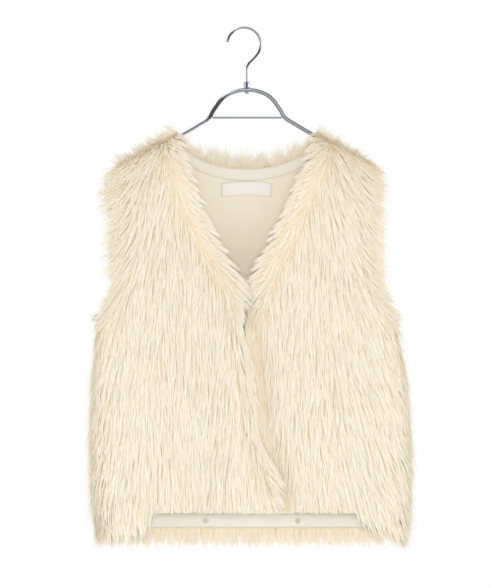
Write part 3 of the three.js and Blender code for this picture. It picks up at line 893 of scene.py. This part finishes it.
UNDER_LAP, UNDER_LAP_TOP = 26 * MM, 30 * MM  # how far in the covered front still has fur


def keep_uncovered(root):
    """The left front has no long fur where the right front covers it."""
    x, z = root[:, 0], root[:, 2]
    return (x > over_tip(z) - UNDER_LAP) | (z > LAP_FULL - UNDER_LAP_TOP)


# Finer fur along the edges: strands, where across and down, half width, reach, lift, gather, spread
FRONT_FRINGES = [
    (1700, (0.0, 0.035), (0.0, 1.0), 0.5 * MM, 1.08, 1.0, 0.75, 0.14),
    (2200, (0.92, 1.0), (0.0, 1.0), 0.42 * MM, 1.1, 1.2, 0.3, 0.14),
    (450, (0.0, 1.0), (0.0, 0.03), 0.9 * MM, 0.75, 1.0, 0.6, 0.12),
    (500, (0.0, 1.0), (0.0, 0.004), 0.5 * MM, 0.4, 1.0, 0.2, 0.5),
]
BACK_FRINGES = [
    (2300, (-0.5, 0.5), (0.0, 0.006), 0.42 * MM, 1.25, 1.0, 0.15, 0.3),
    (750, (-1.0, -0.48), (0.0, 0.006), 0.6 * MM, 1.25, 1.0, 0.35, 0.36),
    (750, (0.48, 1.0), (0.0, 0.006), 0.6 * MM, 1.25, 1.0, 0.35, 0.36),
    (1000, (-1.0, -0.96), (0.0, 1.0), 0.42 * MM, 1.1, 1.0, 0.3, 0.14),
    (1000, (0.96, 1.0), (0.0, 1.0), 0.42 * MM, 1.1, 1.0, 0.3, 0.14),
    (2500, (-1.0, 1.0), (0.972, 1.0), 0.6 * MM, 1.0, 1.0, 0.6, 0.16),
]
right_cloth, right_furs = dress(FRONT_RIGHT, SEED, 4.0 * MM, FRONT_FRINGES, keep_all,
                                columns=30, rows=56, split=-500 * MM)
left_cloth, left_furs = dress(FRONT_LEFT, SEED + 1, 4.0 * MM, FRONT_FRINGES, keep_uncovered,
                              columns=30, rows=56, split=-500 * MM)
back_cloth, back_furs = dress(BACK, SEED + 2, 5.1 * MM, BACK_FRINGES, keep_all,
                              columns=56, rows=56, split=-470 * MM)


# Lining, bands and label on the inside of the back

# How far in from the back's cloth each layer lies
LINING_IN, NECK_BAND_IN, NECK_SEAM_IN = 0.4 * MM, 2.4 * MM, 3.6 * MM
HEM_BAND_IN, HEM_SEAM_IN, TACK_IN, TACK_EDGE_IN = 2.3 * MM, 3.7 * MM, 4.3 * MM, 4.7 * MM
LABEL_IN, LABEL_SEAM_IN, LABEL_BOW = 1.7 * MM, 2.5 * MM, 0.6 * MM
BACK_TOP, BACK_END = 0.0006, 0.999  # shares down the back where its lining starts and ends
NECK_BAND_END, LINING_SHOULDER = 0.0337, 0.104
HEM_HALF, HEM_TOP, HEM_BOTTOM = 180 * MM, -727.8 * MM, -748.2 * MM
LABEL_X, LABEL_Z, LABEL_WIDTH, LABEL_HEIGHT, LABEL_SAG = (v * MM for v in (-1, -228, 76, 21, 3))
LABEL_STITCHES, LABEL_SEAMS, LABEL_ZIGZAG, LABEL_OVERLAP = 9, (0.035, 0.965), 0.012, 0.05
TACK_RADIUS, TACK_THREADS, TACK_FILL, TACK_MIDDLE = 4.6 * MM, 11, 0.9, 0.42
TACKS = {"hem_tack_left": (76.5 * MM, -739.4 * MM), "hem_tack_right": (-62.5 * MM, -739.4 * MM)}


def inside_back(u, t, distance):
    return on_cloth(BACK, u, t) - directions(BACK, u, t)[2] * distance[..., None]


def on_back(x, z, distance):
    return np.stack([x, GAP / 2 + half_depth(z) - distance, z], axis=-1)


def sewn_in(name, place, columns, rows, thickness, look):
    """A sheet of cloth inside the back that stands for the node of its name."""
    made = show(name + "_cloth", cloth_grid(name + "_cloth", place, columns, rows), look)
    thicken(made, thickness, -1)
    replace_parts(made, name)
    return made


def on_lining(across, down):
    u = mix(-1, 1, across)
    start = mix(BACK_TOP, LINING_SHOULDER, ease(np.abs(u), 0.44, 0.06))
    t = mix(start, BACK_END, down)
    ripple = 0.5 * MM * (1 + np.sin(u * 23 + 3 * np.sin(t * 9))) * smooth(t / 0.1)
    return inside_back(u, t, LINING_IN + ripple)


def on_neck_band(across, down):
    u, t = mix(-NECK_END, NECK_END, across), mix(BACK_TOP, NECK_BAND_END, down)
    return inside_back(u, t, NECK_BAND_IN + 0.2 * MM * np.sin(across * 60))


def on_hem_band(across, down):
    pucker = 0.25 * MM * np.sin(across * 90) * down
    return on_back(mix(-HEM_HALF, HEM_HALF, across), mix(HEM_TOP, HEM_BOTTOM, down),
                   HEM_BAND_IN + pucker)


def on_label(across, down, distance=LABEL_IN):
    x = mix(-LABEL_WIDTH / 2, LABEL_WIDTH / 2, across)
    z = LABEL_Z - LABEL_SAG * (2 * across - 1) ** 2 - LABEL_HEIGHT * down
    bow = LABEL_BOW * np.sin(np.pi * across) ** 0.5
    return on_back(LABEL_X + x, z, distance + bow)


def running_stitches(name, place, count):
    """A line of running stitches: place takes a share and gives the points."""
    share = np.arange(count) / count
    starts, ends = place(share + 0.12 / count), place(share + 0.88 / count)
    return stitches(name, starts, ends, 0.7 * MM, PALE_THREAD)


def neck_stitch_line(share_down):
    def place(share):
        t = np.full(len(share), mix(BACK_TOP, NECK_BAND_END, share_down))
        distance = np.full(len(share), NECK_SEAM_IN)
        return inside_back(mix(-NECK_END, NECK_END, share), t, distance)
    return place


def hem_stitch_line(share):
    height = np.full(len(share), HEM_TOP - 2.2 * MM)
    return on_back(mix(-HEM_HALF, HEM_HALF, share), height, HEM_SEAM_IN)


def label_stitches():
    """Zigzag stitches along the two short sides of the label."""
    down = (np.arange(LABEL_STITCHES) + 0.5) / LABEL_STITCHES
    side = np.where(np.arange(LABEL_STITCHES) % 2 == 0, LABEL_ZIGZAG, -LABEL_ZIGZAG)
    starts, ends = (
        np.concatenate([on_label(edge + turn * side, down - turn * LABEL_OVERLAP, LABEL_SEAM_IN)
                        for edge in LABEL_SEAMS]) for turn in (1, -1))
    return stitches("label_stitches", starts, ends, 0.6 * MM, PALE_THREAD)


def make_tack(name, x, z):
    """A diamond of satin stitches with a border and a paler middle."""
    height = (np.arange(TACK_THREADS) + 0.5) / TACK_THREADS * 2 - 1
    half = TACK_RADIUS * (1 - np.abs(height)) * TACK_FILL
    level = z + height * TACK_RADIUS
    rows = stitches(name + "_rows", on_back(x - half, level, TACK_IN),
                    on_back(x + half, level, TACK_IN), 0.95 * MM, THREAD)
    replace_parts(rows, name)
    made = [rows]
    for part, size, thickness, look in (("_edge", 1, 1.1 * MM, THREAD),
                                        ("_middle", TACK_MIDDLE, 1.5 * MM, PALE_THREAD)):
        corners = TACK_RADIUS * size * np.array([(1, 0), (0, 1), (-1, 0), (0, -1)])
        ring = on_back(x + corners[:, 0], z + corners[:, 1], TACK_EDGE_IN)
        made.append(stitches(name + part, ring, np.roll(ring, -1, axis=0), thickness, look))
    return made


lining = sewn_in("back_lining", on_lining, 60, 60, 0.8 * MM, LINING)
neck_band = sewn_in("neck_band", on_neck_band, 80, 8, 1.1 * MM, NECK_BAND_PAINTED_SHADE)
neck_seams = [running_stitches(f"neck_stitches_{k}", neck_stitch_line(share), 72)
              for k, share in enumerate((0.14, 0.86))]
hem_band = sewn_in("hem_band", on_hem_band, 120, 8, 1.2 * MM, HEM_BAND_PAINTED_LIGHT)
hem_seam = running_stitches("hem_stitches", hem_stitch_line, 120)
label = sewn_in("label", on_label, 30, 8, 0.7 * MM, LABEL)
label_seam = label_stitches()
tacks = [piece for name, place in TACKS.items() for piece in make_tack(name, *place)]


# Hanger


def wire(name, places, radius, replaced, straight_from=None):
    """A round wire through places in the plane of the hanger, straight between its last ones."""
    line = bpy.data.curves.new(name, "CURVE")
    line.dimensions = "3D"
    spline = line.splines.new("BEZIER")
    spline.bezier_points.add(len(places) - 1)
    for index, (point, (x, z)) in enumerate(zip(spline.bezier_points, places)):
        straight = straight_from is not None and index >= straight_from
        point.co = (x, 0, z)
        point.handle_left_type = point.handle_right_type = "VECTOR" if straight else "AUTO"
    spline.resolution_u = 8
    line.bevel_depth, line.bevel_resolution, line.use_fill_caps = radius, 6, True
    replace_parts(show(name, line, CHROME), replaced)


ARM_END = 184 * MM
BAR_END, BAR_RADIUS = 52 * MM, 1.5 * MM
KNOB_RADIUS = 2.2 * MM
LOOP_ANGLES = (168, -40)  # of the loop's open end and of its stem
ARCH = [(59, -134.9), (54.7, -130.5), (51.9, -125), (46, -116), (36, -103.5), (20, -94.6)]
STEM = [(3.2, -50.8), (0.4, -56), (0, -61), (0, -71), (0, -78.9)]

half_tube = [(x, float(arm_height(x))) for x in (ARM_END, (ARM_END + KNEE_X) / 2, KNEE_X + 12 * MM)]
half_tube += [(x * MM, z * MM) for x, z in ARCH]
wire("hanger_tube_round", half_tube + [(0, ARCH_TOP)] + [(-x, z) for x, z in half_tube[::-1]],
     TUBE_RADIUS, "hanger_tube")
wire("hanger_bar_round", [(x, KNEE_Z) for x in (-BAR_END, 0, BAR_END)], BAR_RADIUS, "hanger_bar")

loop_middle = -math.sqrt((LOOP_RADIUS - WIRE_RADIUS) ** 2 - LOOP_OFFSET ** 2)
loop = [(LOOP_OFFSET + LOOP_RADIUS * math.cos(a), loop_middle + LOOP_RADIUS * math.sin(a))
        for a in np.radians(np.linspace(*LOOP_ANGLES, 14))]
stem = [(x * MM, z * MM) for x, z in STEM]
wire("hanger_hook_round", loop + stem, WIRE_RADIUS, "hanger_hook", len(loop))


def make_knob():
    """The small ball at the hook's open end."""
    shape = bmesh.new()
    bmesh.ops.create_uvsphere(shape, u_segments=24, v_segments=16, radius=KNOB_RADIUS)
    x, z = loop[0]
    bmesh.ops.translate(shape, verts=shape.verts[:], vec=(x, 0, z))
    show("hook_knob", to_mesh("hook_knob", shape), CHROME)


def turned(name, replaced, lower, upper):
    """A turned metal piece from its radii and their distances, in mm, from its two ends."""
    low, high = (corner[2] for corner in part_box(replaced))
    profile = [(radius * MM, low + rise * MM) for radius, rise in lower]
    profile += [(radius * MM, high - drop * MM) for radius, drop in upper]
    shape = bmesh.new()
    points = [shape.verts.new((radius, 0, z)) for radius, z in profile]
    for ends in zip(points, points[1:]):
        shape.edges.new(ends)
    bmesh.ops.spin(shape, geom=shape.verts[:] + shape.edges[:], cent=(0, 0, 0), axis=(0, 0, 1),
                   angle=2 * math.pi, steps=40, use_merge=True)
    bmesh.ops.remove_doubles(shape, verts=shape.verts[:], dist=1e-6)
    bmesh.ops.recalc_face_normals(shape, faces=shape.faces[:])
    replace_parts(show(name, to_mesh(name, shape, False), CHROME), replaced)


make_knob()
turned("hanger_collar_turned", "hanger_collar", [(0, 0), (4.2, 0), (5, 0.8)],
       [(5, 2.6), (4.5, 2.2), (5, 1.8), (5, 0.6), (4.4, 0), (0, 0)])
turned("hanger_nut_turned", "hanger_nut", [(0, 0), (2.4, 0), (3.2, 0.7)], [(3.2, 0), (0, 0)])


# Studio


def make_floor():
    shape = bmesh.new()
    bmesh.ops.create_grid(shape, x_segments=1, y_segments=1, size=1.0)
    bmesh.ops.translate(shape, verts=shape.verts[:], vec=(0, 0.5, -1.2))
    mesh = to_mesh("floor", shape, False)
    mesh.materials.append(material("floor", (0.86, 0.86, 0.86), 0.9)[0])
    floor = bpy.data.objects.new("floor", mesh)
    bpy.context.scene.collection.objects.link(floor)


# Places on a ramp and how bright the metal sees it there
SEEN_IN_METAL = ((0.18, 0.2), (0.24, 1.0), (0.32, 1.0), (0.38, 0.06), (0.56, 0.12),
                 (0.64, 0.5), (0.70, 1.6), (0.78, 1.6), (0.84, 0.15))


def make_world():
    """White behind the object, dark and bright bands in the metal, and soft light from the sides."""
    world = bpy.data.worlds.new("studio")
    world.use_nodes = True
    bpy.context.scene.world = world
    tree = world.node_tree
    plain = tree.nodes["Background"]
    preset(plain, Color=(1, 1, 1, 1))
    soft, banded = tree.nodes.new("ShaderNodeBackground"), tree.nodes.new("ShaderNodeBackground")
    where = tree.nodes.new("ShaderNodeTexCoord")
    parts = tree.nodes.new("ShaderNodeSeparateXYZ")
    slant = node(tree, "ShaderNodeVectorMath", operation="DOT_PRODUCT")
    slant.inputs[1].default_value = (0.5, 0, 0.86)
    to_side = node(tree, "ShaderNodeMath", operation="ABSOLUTE")
    brightness = node(tree, "ShaderNodeMapRange")
    level = node(tree, "ShaderNodeMapRange")
    preset(brightness, From_Min=0.35, From_Max=1, To_Min=0.35, To_Max=1.8)
    preset(level, From_Min=-1, From_Max=1, To_Min=0, To_Max=1)
    bands = tree.nodes.new("ShaderNodeValToRGB")
    bands.color_ramp.elements[0].color = (0.3, 0.3, 0.3, 1)
    bands.color_ramp.elements[1].color = (0.1, 0.1, 0.1, 1)
    for place, value in SEEN_IN_METAL:
        bands.color_ramp.elements.new(place).color = (value, value, value, 1)
    paths = tree.nodes.new("ShaderNodeLightPath")
    lit, seen = tree.nodes.new("ShaderNodeMixShader"), tree.nodes.new("ShaderNodeMixShader")
    connect(tree, (where, "Generated", parts, "Vector"), (where, "Generated", slant, 0),
            (parts, "X", to_side, 0), (to_side, "Value", brightness, "Value"),
            (slant, "Value", level, "Value"), (level, "Result", bands, "Fac"),
            (brightness, "Result", soft, "Strength"), (bands, "Color", banded, "Color"),
            (paths, "Is Glossy Ray", lit, "Fac"), (soft, "Background", lit, 1),
            (banded, "Background", lit, 2), (paths, "Is Camera Ray", seen, "Fac"),
            (lit, "Shader", seen, 1), (plain, "Background", seen, 2),
            (seen, "Shader", tree.nodes["World Output"], "Surface"))


def make_light(name, place, target, size, power):
    data = bpy.data.lights.new(name, "AREA")
    data.shape, data.size, data.energy = "DISK", size, power
    lamp = bpy.data.objects.new(name, data)
    lamp.location = place
    lamp.rotation_euler = (Vector(target) - Vector(place)).to_track_quat("-Z", "Y").to_euler()
    lamp.visible_glossy = False
    bpy.context.scene.collection.objects.link(lamp)


def make_camera():
    """Straight at the front from far away, so that a pixel is 1.5 mm at the hanger."""
    distance, frame_height, sensor = 6.0, 588 * 1.5 * MM, 36
    data = bpy.data.cameras.new("camera")
    data.sensor_width = sensor
    data.lens = sensor * distance / frame_height
    data.clip_end = 50
    camera = bpy.data.objects.new("camera", data)
    camera.location = (-3 * MM, -distance, -397.5 * MM)
    camera.rotation_euler = (math.pi / 2, 0, 0)
    bpy.context.scene.collection.objects.link(camera)
    bpy.context.scene.camera = camera


make_floor()
make_world()
make_light("key", (0.1, -5.5, -0.3), (0, 0, -0.4), size=1.6, power=145)
make_light("low", (0.1, -1.1, -1.55), (0, 0, -0.72), size=1.0, power=3.4)
make_light("behind", (0.6, 4.6, 0.5), (0, 0, -0.42), size=1.2, power=60)
make_camera()
bpy.context.scene.view_settings.view_transform = "Standard"
